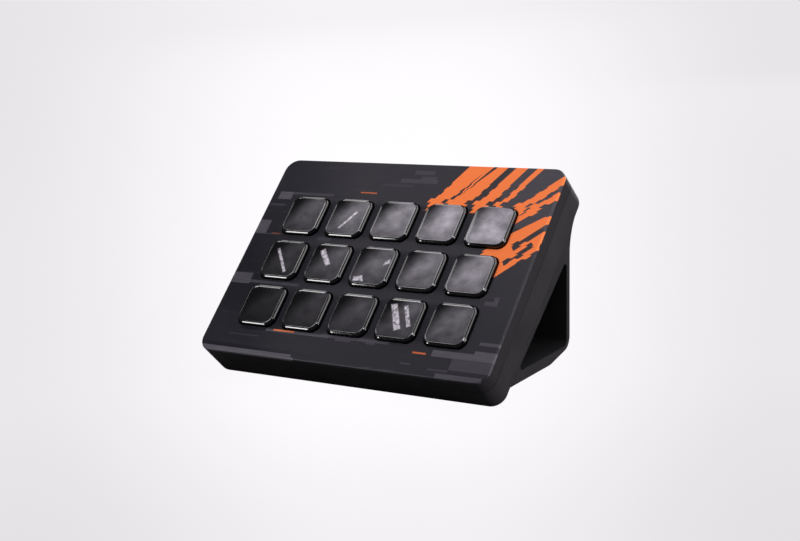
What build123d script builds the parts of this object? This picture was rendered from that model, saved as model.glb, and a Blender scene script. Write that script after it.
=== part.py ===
from build123d import *
from math import cos, radians, sin, tan
import os

# Stream controller: a deck of fifteen clear display keys on a sloping desk stand.
# All sizes are in millimetres. The origin is on the desk, under the middle of the
# whole object, with +X to the user's right and +Y away from the user.
os.makedirs("parts", exist_ok=True)

# Key field, which the display, the face and the stand follow
column_count = 5
row_count = 3
key_pitch = 19.4
grid_width = column_count * key_pitch
grid_height = row_count * key_pitch
grid_drop = 3.0

# Deck, measured along and behind its front face
side_margin = 10.5
end_margin = 12.9
face_width = grid_width + 2 * side_margin
face_height = grid_height + 2 * end_margin
corner_radius = 5.2
deck_depth = 16.0
front_edge_radius = 0.7
rear_edge_radius = 2.5
tilt = 43.5
seam_depth = 5.4
seam_gap = 0.15

# Walls and clearances
cover_wall = 1.6
shell_wall = 1.8
frame_wall = 1.6
seat_gap = 0.1
slip_gap = 0.2
loose_gap = 0.3
desk_gap = 0.5

# Key caps
key_size = 16.0
key_radius = 2.8
key_proud = 1.6
key_travel = 0.9
key_rim = 1.0
key_rim_radius = 0.4
dish_depth = 0.45
dish_sag = 0.25
dish_slope = 50.0
flange_reach = 0.9
flange_thickness = 0.6
foot_inset = 1.5
foot_height = 0.9
guide_gap = 0.1

# Inner layers, from the front to the back
frame_plate = 1.6
guide_rib = 0.8
guide_rib_depth = 1.6
membrane_sheet = 0.5
dome_wall = 0.8
dome_inset = 0.4
board_thin = 0.5
display_side_border = 4.2
display_end_border = 4.45
display_width = grid_width + 2 * display_side_border
display_height = grid_height + 2 * display_end_border
display_offset = 2.5
display_thickness = 1.4
backlight_thickness = 1.6
tray_floor = 1.2
tray_rim = 1.2
tray_corner_inset = 3.0
standoff_radius = 2.2
board_width = 84.0
board_height = 44.0
board_thickness = 1.0
board_rear_gap = 0.8

# Rear boss, its socket and the cord's inlet
boss_width = 76.0
boss_height = 38.0
boss_depth = 6.0
boss_radius = 6.0
boss_rise = 2.0
boss_wall = 1.8
boss_edge_radius = 1.2
port_width = 8.9
port_height = 3.2
port_wall = 0.3
port_drop = 6.0
port_recess = 0.2
tongue_width = 6.7
tongue_thickness = 0.7
tongue_length = 4.4
socket_depth = 6.2

# Screws
screw_edge_u = 6.4
screw_edge_v = 5.8
screw_radius = 1.0
screw_head_radius = 1.9
screw_head_height = 1.2
screw_bite = 4.0
pilot_radius = 0.8
post_wall = 1.2
boss_screw_wall = 0.9
board_screw_head = 0.7
board_screw_inset = 4.0

# Magnets
magnet_radius = 4.0
magnet_thickness = 2.0
magnet_edge_u = 15.0
magnet_edge_v = 13.5
magnet_collar = 1.0

# Ribbons and board parts
ribbon_thickness = 0.2
display_ribbon_width = 28.0
contact_ribbon_width = 14.0
ribbon_bulge = 2.2
ribbon_bend = 0.8
ribbon_socket_depth = 4.0
ribbon_socket_height = 0.6
chip_size = 12.0
chip_thickness = 0.9
memory_width = 8.0
memory_length = 10.0
small_part = (2.4, 1.6, 0.8)
small_part_pitch = 4.6

# Stand
stand_side_inset = 5.0
stand_width = face_width - 2 * stand_side_inset
stand_top_inset = 1.0
stand_top_thickness = 6.0
stand_plate_low = 7.2
base_thickness = 3.6
leg_thickness = 2.2
leg_inset = 9.7
leg_lean = 4.8
flare_height = 14.4
apex_drop = 15.5
heel_run = 14.5
heel_rise = 2.9
heel_radius = 5.0
heel_blend = 12.0
stand_edge_radius = 1.0
tunnel_radius = 1.2
tunnel_heel_radius = 2.6
window_gap = 0.5
pad_side_inset = 10.0
pad_width = stand_width - 2 * pad_side_inset
pad_radius = 5.0
pad_proud = 2.9
pad_recess = 0.6
pad_edge_radius = 0.6
pad_front_inset = 4.0
pad_rear_inset = 2.0

# Depths behind the front face, worked out from the layers
frame_top = cover_wall + seat_gap
flange_top = frame_top + frame_plate + guide_gap
flange_bottom = flange_top + flange_thickness
membrane_top = flange_bottom + key_travel + guide_gap
board_top = membrane_top + membrane_sheet + seat_gap
display_top = board_top + board_thin + seat_gap
backlight_top = display_top + display_thickness + seat_gap
tray_top = backlight_top + backlight_thickness + seat_gap
standoff_top = tray_top + tray_floor
rear_wall_top = deck_depth - shell_wall
main_board_bottom = rear_wall_top - board_rear_gap
main_board_top = main_board_bottom - board_thickness
standoff_height = main_board_top - standoff_top
back = deck_depth + seat_gap
boss_bottom = deck_depth + boss_depth

# Where the deck stands: its lowest edge clears the desk, and the whole is centred
slope = radians(tilt)
deck_low = (face_height / 2 - rear_edge_radius) * sin(slope)
deck_low += (deck_depth - rear_edge_radius) * cos(slope) + rear_edge_radius
face_z = deck_low + desk_gap
stand_top = face_height / 2 - stand_top_inset
front_reach = (face_height / 2 - front_edge_radius) * cos(slope)
front_reach += front_edge_radius * (1 - sin(slope))
rear_reach = stand_top * cos(slope) + (back + stand_top_thickness) * sin(slope)
face_y = (front_reach - rear_reach) / 2
face = Plane(origin=(0, face_y, face_z), x_dir=(1, 0, 0), z_dir=(0, -sin(slope), cos(slope)))
out = Axis(face.origin, face.z_dir)
grid_v = -grid_drop
display_v = grid_v + display_offset
boss_v = boss_rise
port_v = boss_v - port_drop


def deck_plane(depth, u=0.0, v=0.0):
    """A plane parallel to the face, at this depth behind it, centred on (u, v)."""
    return Plane(origin=face.offset(-depth).from_local_coords((u, v, 0)),
                 x_dir=face.x_dir, z_dir=face.z_dir)


def side_point(v, depth):
    """The (y, z) of a point at height v up the slope and this depth behind the face."""
    return (face_y + v * cos(slope) + depth * sin(slope),
            face_z + v * sin(slope) - depth * cos(slope))


# Key cap sizes shared by the pieces around the keys
window_size = key_size + 2 * loose_gap
guide_size = key_size + 2 * guide_gap
flange_size = key_size + 2 * flange_reach
foot_size = key_size - 2 * foot_inset
view_size = foot_size + 2 * loose_gap
dish_size = key_size - 2 * key_rim
key_grid = (key_pitch, key_pitch, column_count, row_count)

# Faceplate: a shallow printed tray with a window for each key
with BuildPart() as faceplate:
    with BuildSketch(face):
        RectangleRounded(face_width, face_height, corner_radius)
    extrude(amount=-seam_depth)
    fillet(faceplate.edges().group_by(out)[-1], front_edge_radius)
    with BuildSketch(deck_plane(cover_wall)):
        RectangleRounded(face_width - 2 * cover_wall, face_height - 2 * cover_wall,
                         corner_radius - cover_wall)
    extrude(amount=-seam_depth, mode=Mode.SUBTRACT)
    with BuildSketch(deck_plane(0, 0, grid_v)):
        with GridLocations(*key_grid):
            RectangleRounded(window_size, window_size, key_radius + loose_gap)
    extrude(amount=-seam_depth, mode=Mode.SUBTRACT)
faceplate.part.label = "faceplate"
export_step(faceplate.part, "parts/faceplate.step")

# Clear key caps: a rimmed and dished top, a flange under the frame and a lens foot
sphere_radius = ((dish_size / 2) ** 2 + dish_sag ** 2) / (2 * dish_sag)
for row in range(row_count):
    for column in range(column_count):
        key_u = (column - (column_count - 1) / 2) * key_pitch
        key_v = grid_v + ((row_count - 1) / 2 - row) * key_pitch
        with BuildPart() as key_cap:
            with BuildSketch(deck_plane(-key_proud, key_u, key_v)):
                RectangleRounded(key_size, key_size, key_radius)
            extrude(amount=-(key_proud + flange_top))
            fillet(key_cap.edges().group_by(out)[-1], key_rim_radius)
            with BuildSketch(deck_plane(-key_proud, key_u, key_v)):
                RectangleRounded(dish_size, dish_size, key_radius - key_rim)
            extrude(amount=-dish_depth, taper=dish_slope, mode=Mode.SUBTRACT)
            with Locations(deck_plane(dish_depth + dish_sag - key_proud - sphere_radius,
                                      key_u, key_v)):
                Sphere(sphere_radius, mode=Mode.SUBTRACT)
            with BuildSketch(deck_plane(flange_top, key_u, key_v)):
                RectangleRounded(flange_size, flange_size, key_radius + flange_reach)
            extrude(amount=-flange_thickness)
            with BuildSketch(deck_plane(flange_bottom, key_u, key_v)):
                RectangleRounded(foot_size, foot_size, key_radius - foot_inset)
            extrude(amount=-foot_height)
        label = f"key_r{row + 1}c{column + 1}"
        key_cap.part.label = label
        export_step(key_cap.part, f"parts/{label}.step")

# Front frame: guides the key caps, and holds the screws that close the deck
frame_width = face_width - 2 * shell_wall - 2 * slip_gap
frame_height = face_height - 2 * shell_wall - 2 * slip_gap
frame_radius = corner_radius - shell_wall - slip_gap
frame_bottom = tray_top - seat_gap
screw_u = face_width / 2 - screw_edge_u
screw_v = face_height / 2 - screw_edge_v
screw_grid = (2 * screw_u, 2 * screw_v, 2, 2)
screw_boss_radius = screw_radius + boss_screw_wall
with BuildPart() as front_frame:
    with BuildSketch(deck_plane(frame_top)):
        RectangleRounded(frame_width, frame_height, frame_radius)
    extrude(amount=-(frame_bottom - frame_top))
    with BuildSketch(deck_plane(frame_top + frame_plate)):
        RectangleRounded(frame_width - 2 * frame_wall, frame_height - 2 * frame_wall,
                         frame_radius - frame_wall / 2)
    extrude(amount=-frame_bottom, mode=Mode.SUBTRACT)
    with BuildSketch(deck_plane(frame_top + frame_plate, 0, grid_v)):
        Rectangle(grid_width + guide_rib, grid_height + guide_rib)
        with GridLocations(*key_grid):
            Rectangle(key_pitch - guide_rib, key_pitch - guide_rib, mode=Mode.SUBTRACT)
    extrude(amount=-guide_rib_depth)
    with BuildSketch(deck_plane(frame_top + frame_plate)):
        with GridLocations(*screw_grid):
            Circle(screw_boss_radius)
    extrude(amount=-(frame_bottom - frame_top - frame_plate))
    with BuildSketch(deck_plane(frame_bottom)):
        with GridLocations(*screw_grid):
            Circle(pilot_radius)
    extrude(amount=screw_bite, mode=Mode.SUBTRACT)
    with BuildSketch(deck_plane(frame_top, 0, grid_v)):
        with GridLocations(*key_grid):
            RectangleRounded(guide_size, guide_size, key_radius + guide_gap)
    extrude(amount=-frame_plate, mode=Mode.SUBTRACT)
front_frame.part.label = "front_frame"
export_step(front_frame.part, "parts/front_frame.step")

# Key membrane: one silicone sheet with a springy ring and a window under each key
dome_size = flange_size - 2 * dome_inset
dome_radius = key_radius + flange_reach - dome_inset
with BuildPart() as key_membrane:
    with BuildSketch(deck_plane(membrane_top, 0, grid_v)):
        Rectangle(grid_width + guide_rib, grid_height + guide_rib)
    extrude(amount=-membrane_sheet)
    with BuildSketch(deck_plane(membrane_top, 0, grid_v)):
        with GridLocations(*key_grid):
            RectangleRounded(dome_size, dome_size, dome_radius)
    extrude(amount=key_travel)
    with BuildSketch(deck_plane(membrane_top - key_travel, 0, grid_v)):
        with GridLocations(*key_grid):
            RectangleRounded(dome_size - 2 * dome_wall, dome_size - 2 * dome_wall,
                             dome_radius - dome_wall)
    extrude(amount=-key_travel, mode=Mode.SUBTRACT)
    with BuildSketch(deck_plane(membrane_top, 0, grid_v)):
        with GridLocations(*key_grid):
            Rectangle(view_size, view_size)
    extrude(amount=-membrane_sheet, mode=Mode.SUBTRACT)
key_membrane.part.label = "key_membrane"
export_step(key_membrane.part, "parts/key_membrane.step")

# Contact board: a thin board with the same windows
with BuildPart() as contact_board:
    with BuildSketch(deck_plane(board_top, 0, grid_v)):
        Rectangle(grid_width + guide_rib, grid_height + guide_rib)
        with GridLocations(*key_grid):
            Rectangle(view_size, view_size, mode=Mode.SUBTRACT)
    extrude(amount=-board_thin)
contact_board.part.label = "contact_board"
export_step(contact_board.part, "parts/contact_board.step")

# Display panel and the backlight behind it
with BuildPart() as lcd_panel:
    with BuildSketch(deck_plane(display_top, 0, display_v)):
        Rectangle(display_width, display_height)
    extrude(amount=-display_thickness)
lcd_panel.part.label = "lcd_panel"
export_step(lcd_panel.part, "parts/lcd_panel.step")

with BuildPart() as backlight_unit:
    with BuildSketch(deck_plane(backlight_top, 0, display_v)):
        Rectangle(display_width, display_height)
    extrude(amount=-backlight_thickness)
backlight_unit.part.label = "backlight_unit"
export_step(backlight_unit.part, "parts/backlight_unit.step")

# Display tray: a floor with side rims, feet on the rear wall and board standoffs
board_screw_u = board_width / 2 - board_screw_inset
board_screw_v = board_height / 2 - board_screw_inset
board_grid = (2 * board_screw_u, 2 * board_screw_v, 2, 2)
tray_foot_u = board_width / 2 + standoff_radius + loose_gap
rim_u = display_width / 2 + seat_gap + tray_rim / 2
tray_height = display_height - 2 * tray_corner_inset
with BuildPart() as display_tray:
    with BuildSketch(deck_plane(tray_top, 0, display_v)):
        Rectangle(display_width + 2 * seat_gap + 2 * tray_rim, tray_height)
    extrude(amount=-tray_floor)
    with BuildSketch(deck_plane(tray_top, 0, display_v)):
        with Locations((-rim_u, 0), (rim_u, 0)):
            Rectangle(tray_rim, tray_height)
    extrude(amount=tray_top - display_top)
    with BuildSketch(deck_plane(standoff_top)):
        with Locations((-tray_foot_u, 0), (tray_foot_u, 0)):
            Circle(standoff_radius)
    extrude(amount=-(rear_wall_top - standoff_top - seat_gap))
    with BuildSketch(deck_plane(standoff_top)):
        with GridLocations(*board_grid):
            Circle(standoff_radius)
    extrude(amount=-standoff_height)
    with BuildSketch(deck_plane(main_board_top)):
        with GridLocations(*board_grid):
            Circle(pilot_radius)
    extrude(amount=standoff_height + tray_floor / 2, mode=Mode.SUBTRACT)
display_tray.part.label = "display_tray"
export_step(display_tray.part, "parts/display_tray.step")

# Main board
with BuildPart() as main_board:
    with BuildSketch(deck_plane(main_board_top)):
        RectangleRounded(board_width, board_height, standoff_radius)
        with GridLocations(*board_grid):
            Circle(screw_radius + seat_gap, mode=Mode.SUBTRACT)
    extrude(amount=-board_thickness)
main_board.part.label = "main_board"
export_step(main_board.part, "parts/main_board.step")

# Chips and small parts, on the back of the main board and inside the boss
chip_u = boss_width / 4
with BuildPart() as controller_chip:
    with BuildSketch(deck_plane(main_board_bottom, -chip_u, boss_v)):
        Rectangle(chip_size, chip_size)
    extrude(amount=-chip_thickness)
    chamfer(controller_chip.edges().group_by(out)[0], chip_thickness / 4)
controller_chip.part.label = "controller_chip"
export_step(controller_chip.part, "parts/controller_chip.step")

with BuildPart() as memory_chip:
    with BuildSketch(deck_plane(main_board_bottom, chip_u, boss_v)):
        Rectangle(memory_width, memory_length)
    extrude(amount=-chip_thickness)
    chamfer(memory_chip.edges().group_by(out)[0], chip_thickness / 4)
memory_chip.part.label = "memory_chip"
export_step(memory_chip.part, "parts/memory_chip.step")

with BuildPart() as board_components:
    with BuildSketch(deck_plane(main_board_bottom, 0, boss_v + port_drop)):
        with GridLocations(small_part_pitch, small_part_pitch, 3, 2):
            Rectangle(small_part[0], small_part[1])
    extrude(amount=-small_part[2])
board_components.part.label = "board_components"
export_step(board_components.part, "parts/board_components.step")

# Ribbon sockets, on the back of the main board near its upper and lower edges
socket_v = board_height / 2 - ribbon_socket_depth / 2
with BuildPart() as ribbon_sockets:
    with BuildSketch(deck_plane(main_board_bottom)):
        with Locations((0, socket_v)):
            Rectangle(display_ribbon_width + 2 * slip_gap, ribbon_socket_depth)
        with Locations((0, -socket_v)):
            Rectangle(contact_ribbon_width + 2 * slip_gap, ribbon_socket_depth)
    extrude(amount=-ribbon_socket_height)
ribbon_sockets.part.label = "ribbon_sockets"
export_step(ribbon_sockets.part, "parts/ribbon_sockets.step")

# Ribbons: each leaves the edge of its board, goes round the tray and into its socket
ribbon_depth = main_board_bottom + ribbon_socket_height / 2
ribbons = (
    ("display_flex", 1, display_v + display_height / 2, display_ribbon_width,
     display_top + display_thickness / 2),
    ("contact_flex", -1, grid_height / 2 + guide_rib / 2 - grid_v, contact_ribbon_width,
     board_top + board_thin / 2),
)
for label, side, edge_v, ribbon_width, start_depth in ribbons:
    tray_edge_v = display_height / 2 + side * display_v
    turn_v = side * (max(edge_v, tray_edge_v) + ribbon_bulge)
    route = [
        side_point(side * edge_v + side * ribbon_thickness / 4, start_depth),
        side_point(turn_v, start_depth),
        side_point(turn_v, ribbon_depth),
        side_point(side * (socket_v + ribbon_socket_depth / 2 + ribbon_thickness / 4), ribbon_depth),
    ]
    with BuildPart() as ribbon:
        with BuildSketch(Plane.YZ):
            with BuildLine():
                FilletPolyline(*route, radius=ribbon_bend)
            trace(line_width=ribbon_thickness)
        extrude(amount=ribbon_width / 2, both=True)
    ribbon.part.label = label
    export_step(ribbon.part, f"parts/{label}.step")

# Cord inlet: the receptacle's shell and its tongue, facing the rear
port_top = main_board_bottom
port_bottom = boss_bottom - port_recess
with BuildPart() as usb_receptacle:
    with BuildSketch(deck_plane(port_top, 0, port_v)):
        SlotOverall(port_width, port_height)
    extrude(amount=-(port_bottom - port_top))
    with BuildSketch(deck_plane(port_bottom, 0, port_v)):
        SlotOverall(port_width - 2 * port_wall, port_height - 2 * port_wall)
    extrude(amount=socket_depth, mode=Mode.SUBTRACT)
    with BuildSketch(deck_plane(port_bottom - socket_depth, 0, port_v)):
        Rectangle(tongue_width, tongue_thickness)
    extrude(amount=-tongue_length)
usb_receptacle.part.label = "usb_receptacle"
export_step(usb_receptacle.part, "parts/usb_receptacle.step")

# Rear housing: a tub with screw posts, magnet collars, a boss and the inlet's hole
post_radius = screw_head_radius + slip_gap + post_wall
head_seat = frame_bottom + (deck_depth - frame_bottom) / 2
magnet_u = face_width / 2 - magnet_edge_u
magnet_v = face_height / 2 - magnet_edge_v
magnet_grid = (2 * magnet_u, 2 * magnet_v, 2, 2)
with BuildPart() as rear_housing:
    with BuildSketch(deck_plane(seam_depth + seam_gap)):
        RectangleRounded(face_width, face_height, corner_radius)
    extrude(amount=-(deck_depth - seam_depth - seam_gap))
    fillet(rear_housing.edges().group_by(out)[0], rear_edge_radius)
    with BuildSketch(deck_plane(deck_depth, 0, boss_v)):
        RectangleRounded(boss_width, boss_height, boss_radius)
    extrude(amount=-boss_depth)
    fillet(rear_housing.edges().group_by(out)[0], boss_edge_radius)
    with BuildSketch(deck_plane(seam_depth)):
        RectangleRounded(face_width - 2 * shell_wall, face_height - 2 * shell_wall,
                         corner_radius - shell_wall)
    extrude(amount=-(rear_wall_top - seam_depth), mode=Mode.SUBTRACT)
    with BuildSketch(deck_plane(rear_wall_top, 0, boss_v)):
        RectangleRounded(boss_width - 2 * boss_wall, boss_height - 2 * boss_wall,
                         boss_radius - boss_wall)
    extrude(amount=-(boss_bottom - boss_wall - rear_wall_top), mode=Mode.SUBTRACT)
    with BuildSketch(deck_plane(frame_bottom + seat_gap)):
        with GridLocations(*screw_grid):
            Circle(post_radius)
        RectangleRounded(face_width - shell_wall, face_height - shell_wall,
                         corner_radius - shell_wall / 2, mode=Mode.INTERSECT)
    extrude(amount=-(rear_wall_top - frame_bottom - seat_gap))
    with BuildSketch(deck_plane(rear_wall_top)):
        with GridLocations(*magnet_grid):
            Circle(magnet_radius + slip_gap + magnet_collar)
            Circle(magnet_radius + slip_gap, mode=Mode.SUBTRACT)
    extrude(amount=magnet_thickness / 2)
    with BuildSketch(deck_plane(deck_depth)):
        with GridLocations(*screw_grid):
            Circle(screw_head_radius + slip_gap)
    extrude(amount=deck_depth - head_seat, mode=Mode.SUBTRACT)
    with BuildSketch(deck_plane(deck_depth)):
        with GridLocations(*screw_grid):
            Circle(screw_radius + seat_gap)
    extrude(amount=deck_depth - frame_bottom, mode=Mode.SUBTRACT)
    with BuildSketch(deck_plane(boss_bottom, 0, port_v)):
        SlotOverall(port_width + 2 * slip_gap, port_height + 2 * slip_gap)
    extrude(amount=boss_wall, mode=Mode.SUBTRACT)
rear_housing.part.label = "rear_housing"
export_step(rear_housing.part, "parts/rear_housing.step")

# Screws: four close the deck from the back, four hold the main board to the tray
with BuildPart() as housing_screws:
    with BuildSketch(deck_plane(head_seat)):
        with GridLocations(*screw_grid):
            Circle(screw_head_radius)
    extrude(amount=-screw_head_height)
    with BuildSketch(deck_plane(head_seat)):
        with GridLocations(*screw_grid):
            Circle(pilot_radius)
    extrude(amount=head_seat - frame_bottom + screw_bite - slip_gap)
housing_screws.part.label = "housing_screws"
export_step(housing_screws.part, "parts/housing_screws.step")

with BuildPart() as board_screws:
    with BuildSketch(deck_plane(main_board_bottom)):
        with GridLocations(*board_grid):
            Circle(screw_head_radius)
    extrude(amount=-board_screw_head)
    with BuildSketch(deck_plane(main_board_bottom)):
        with GridLocations(*board_grid):
            Circle(pilot_radius)
    extrude(amount=board_thickness + standoff_height)
board_screws.part.label = "board_screws"
export_step(board_screws.part, "parts/board_screws.step")

# Magnets: four in the housing's collars face four in the stand's pockets
with BuildPart() as housing_magnets:
    with BuildSketch(deck_plane(rear_wall_top)):
        with GridLocations(*magnet_grid):
            Circle(magnet_radius)
    extrude(amount=magnet_thickness)
housing_magnets.part.label = "housing_magnets"
export_step(housing_magnets.part, "parts/housing_magnets.step")

with BuildPart() as stand_magnets:
    with BuildSketch(deck_plane(back + seat_gap)):
        with GridLocations(*magnet_grid):
            Circle(magnet_radius)
    extrude(amount=-magnet_thickness)
stand_magnets.part.label = "stand_magnets"
export_step(stand_magnets.part, "parts/stand_magnets.step")

# Stand: one moulding with a sloping plate, a flat base and a leg that flares to the top
base_bottom = pad_proud
base_top = base_bottom + base_thickness
lean = radians(leg_lean)
top_front = side_point(stand_top, back)
top_rear = side_point(stand_top, back + stand_top_thickness)
knee_z = top_rear[1] - flare_height
leg_y = top_rear[0] - leg_inset


def leg_outer(z):
    """The y of the leg's outer face at height z."""
    return leg_y + (z - base_bottom) * tan(lean)


def slope_v(z, depth):
    """How far up the slope a line at this depth behind the face reaches height z."""
    return (z - face_z + depth * cos(slope)) / sin(slope)


toe = side_point(slope_v(base_bottom, back), back)
heel = (leg_outer(base_bottom + heel_rise), base_bottom + heel_rise)
heel_start = (heel[0] - heel_run, base_bottom)
knee = (leg_outer(knee_z), knee_z)
apex_z = top_rear[1] - apex_drop
leg_inner_gap = leg_thickness / cos(lean)
apex = (leg_outer(apex_z) - leg_inner_gap, apex_z)
tunnel_heel = (leg_outer(base_top) - leg_inner_gap, base_top)
tunnel_toe = side_point(slope_v(base_top, back + stand_plate_low), back + stand_plate_low)
apex_depth = (apex[0] - face_y) * sin(slope) - (apex[1] - face_z) * cos(slope)
window_depth = apex_depth - back + seat_gap
pad_length = heel_start[0] - toe[0] - pad_front_inset - pad_rear_inset
pad_y = toe[0] + pad_front_inset + pad_length / 2
with BuildPart() as stand:
    with BuildSketch(Plane.YZ) as profile:
        with BuildLine():
            Polyline(knee, heel, heel_start, toe, top_front, top_rear)
            TangentArc(knee, top_rear, tangent=(sin(lean), cos(lean)))
        make_face()
        for corner, radius in ((heel, heel_radius), (heel_start, heel_blend),
                               (toe, stand_edge_radius), (top_front, stand_edge_radius),
                               (top_rear, stand_edge_radius)):
            fillet(profile.vertices().sort_by_distance(corner)[0], radius)
    extrude(amount=stand_width / 2, both=True)
    with BuildSketch(Plane.YZ) as tunnel:
        with BuildLine():
            Polyline(tunnel_toe, tunnel_heel, apex, close=True)
        make_face()
        for corner, radius in ((tunnel_toe, tunnel_radius), (apex, tunnel_radius),
                               (tunnel_heel, tunnel_heel_radius)):
            fillet(tunnel.vertices().sort_by_distance(corner)[0], radius)
    extrude(amount=stand_width, both=True, mode=Mode.SUBTRACT)
    with BuildSketch(deck_plane(back, 0, boss_v)):
        RectangleRounded(boss_width + 2 * window_gap, boss_height + 2 * window_gap,
                         boss_radius + window_gap)
    extrude(amount=-window_depth, mode=Mode.SUBTRACT)
    with BuildSketch(deck_plane(back)):
        with GridLocations(*magnet_grid):
            Circle(magnet_radius + slip_gap)
    extrude(amount=-(magnet_thickness + 2 * seat_gap), mode=Mode.SUBTRACT)
    with BuildSketch(Plane.XY.offset(base_bottom)):
        with Locations((0, pad_y)):
            RectangleRounded(pad_width + 2 * slip_gap, pad_length + 2 * slip_gap,
                             pad_radius + slip_gap)
    extrude(amount=pad_recess, mode=Mode.SUBTRACT)
stand.part.label = "stand"
export_step(stand.part, "parts/stand.step")

# Rubber sole under the base
with BuildPart() as stand_pad:
    with BuildSketch(Plane.XY):
        with Locations((0, pad_y)):
            RectangleRounded(pad_width, pad_length, pad_radius)
    extrude(amount=pad_proud + pad_recess - seat_gap)
    fillet(stand_pad.edges().group_by(Axis.Z)[0], pad_edge_radius)
stand_pad.part.label = "stand_pad"
export_step(stand_pad.part, "parts/stand_pad.step")
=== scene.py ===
"""Looks of a desk stream controller: fifteen clear display keys in a printed cover, on a sloping stand."""

import logging
import math
from collections.abc import Callable, Iterable
from dataclasses import dataclass
from enum import Enum

import bmesh
import bpy
from mathutils import Matrix, Vector


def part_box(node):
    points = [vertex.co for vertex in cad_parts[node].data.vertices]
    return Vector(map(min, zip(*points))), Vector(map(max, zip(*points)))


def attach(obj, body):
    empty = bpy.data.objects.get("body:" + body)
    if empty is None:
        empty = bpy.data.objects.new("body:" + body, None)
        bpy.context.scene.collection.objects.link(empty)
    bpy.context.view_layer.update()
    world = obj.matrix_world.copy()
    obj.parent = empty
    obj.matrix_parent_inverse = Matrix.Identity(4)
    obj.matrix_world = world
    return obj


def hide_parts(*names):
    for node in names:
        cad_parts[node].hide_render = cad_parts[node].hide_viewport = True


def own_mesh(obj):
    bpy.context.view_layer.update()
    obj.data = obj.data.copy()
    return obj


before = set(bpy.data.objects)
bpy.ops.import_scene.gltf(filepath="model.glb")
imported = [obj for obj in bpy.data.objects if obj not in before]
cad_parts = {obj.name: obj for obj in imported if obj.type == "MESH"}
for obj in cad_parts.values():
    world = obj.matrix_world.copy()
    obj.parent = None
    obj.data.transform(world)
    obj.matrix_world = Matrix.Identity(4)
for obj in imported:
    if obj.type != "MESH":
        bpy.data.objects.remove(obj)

LOG = logging.getLogger("stream_controller")
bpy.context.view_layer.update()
MM = 0.001
SAME_PLACE = 0.01  # Places in mm that are nearer than this count as one.
LEVEL_FACE = 0.9  # The least part of its normal that a level face has along Z.
NOISE_SPAN = (0.3, 0.7)  # Nearly all of a noise value lies here,
NOISE_CORE = (0.35, 0.65)  # and most of it here.

Colour = tuple[float, float, float]
Pair = tuple[float, float]
Outline = tuple[Pair, ...]
Socket = bpy.types.NodeSocket
Inputs = dict[int | str, object]


def linear(red: float, green: float, blue: float) -> Colour:
    """Turns a colour written in screen values into linear light.

    Args:
        red, green, blue: Screen values from 0 to 255.

    Returns:
        The three linear values, from 0 to 1.
    """
    return tuple(share / 12.92 if share <= 0.04045 else ((share + 0.055) / 1.055) ** 2.4
                 for share in (red / 255, green / 255, blue / 255))


def shaded(colour: Colour, factor: float, lift: float = 0.0) -> Colour:
    """A colour made darker or paler by a factor, and then lifted."""
    return tuple(factor * part + lift for part in colour)


@dataclass(frozen=True)
class FacePlane:
    """The sloping plane of the deck's face: u to the right, v up the slope and n out of the face, in mm."""

    tilt_deg: float = 43.5
    display_middle: Pair = (-0.5, -6.9)  # v and n of the display panel's middle.

    def matrix(self) -> Matrix:
        """The face's own frame, placed from the display panel of the loaded model.

        Returns:
            A matrix from face coordinates in metres to the model's frame.
        """
        turn = Matrix.Rotation(math.radians(self.tilt_deg), 4, "X")
        low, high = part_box("lcd_panel")
        up_slope, out = self.display_middle
        middle = (low + high) / 2 - turn @ Vector((0.0, up_slope * MM, out * MM))
        return Matrix.Translation(middle) @ turn

    def place(self, u: float, v: float, n: float = 0.0) -> Matrix:
        """The matrix that puts a piece made at the origin at (u, v, n) on the face."""
        return self.matrix() @ Matrix.Translation(Vector((u, v, n)) * MM)


@dataclass(frozen=True)
class KeyGrid:
    """Where the keys stand on the face, in mm: their middle lies below the face's middle by the drop."""

    columns: int = 5
    rows: int = 3
    pitch: float = 19.4
    drop: float = 3.0

    def spots(self) -> dict[str, Pair]:
        """The keys' names and their middles as (u, v), row by row."""
        return {f"r{row + 1}c{column + 1}": ((column - (self.columns - 1) / 2) * self.pitch,
                                             ((self.rows - 1) / 2 - row) * self.pitch - self.drop)
                for row in range(self.rows) for column in range(self.columns)}


FACE = FacePlane()
KEYS = KeyGrid()


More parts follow.
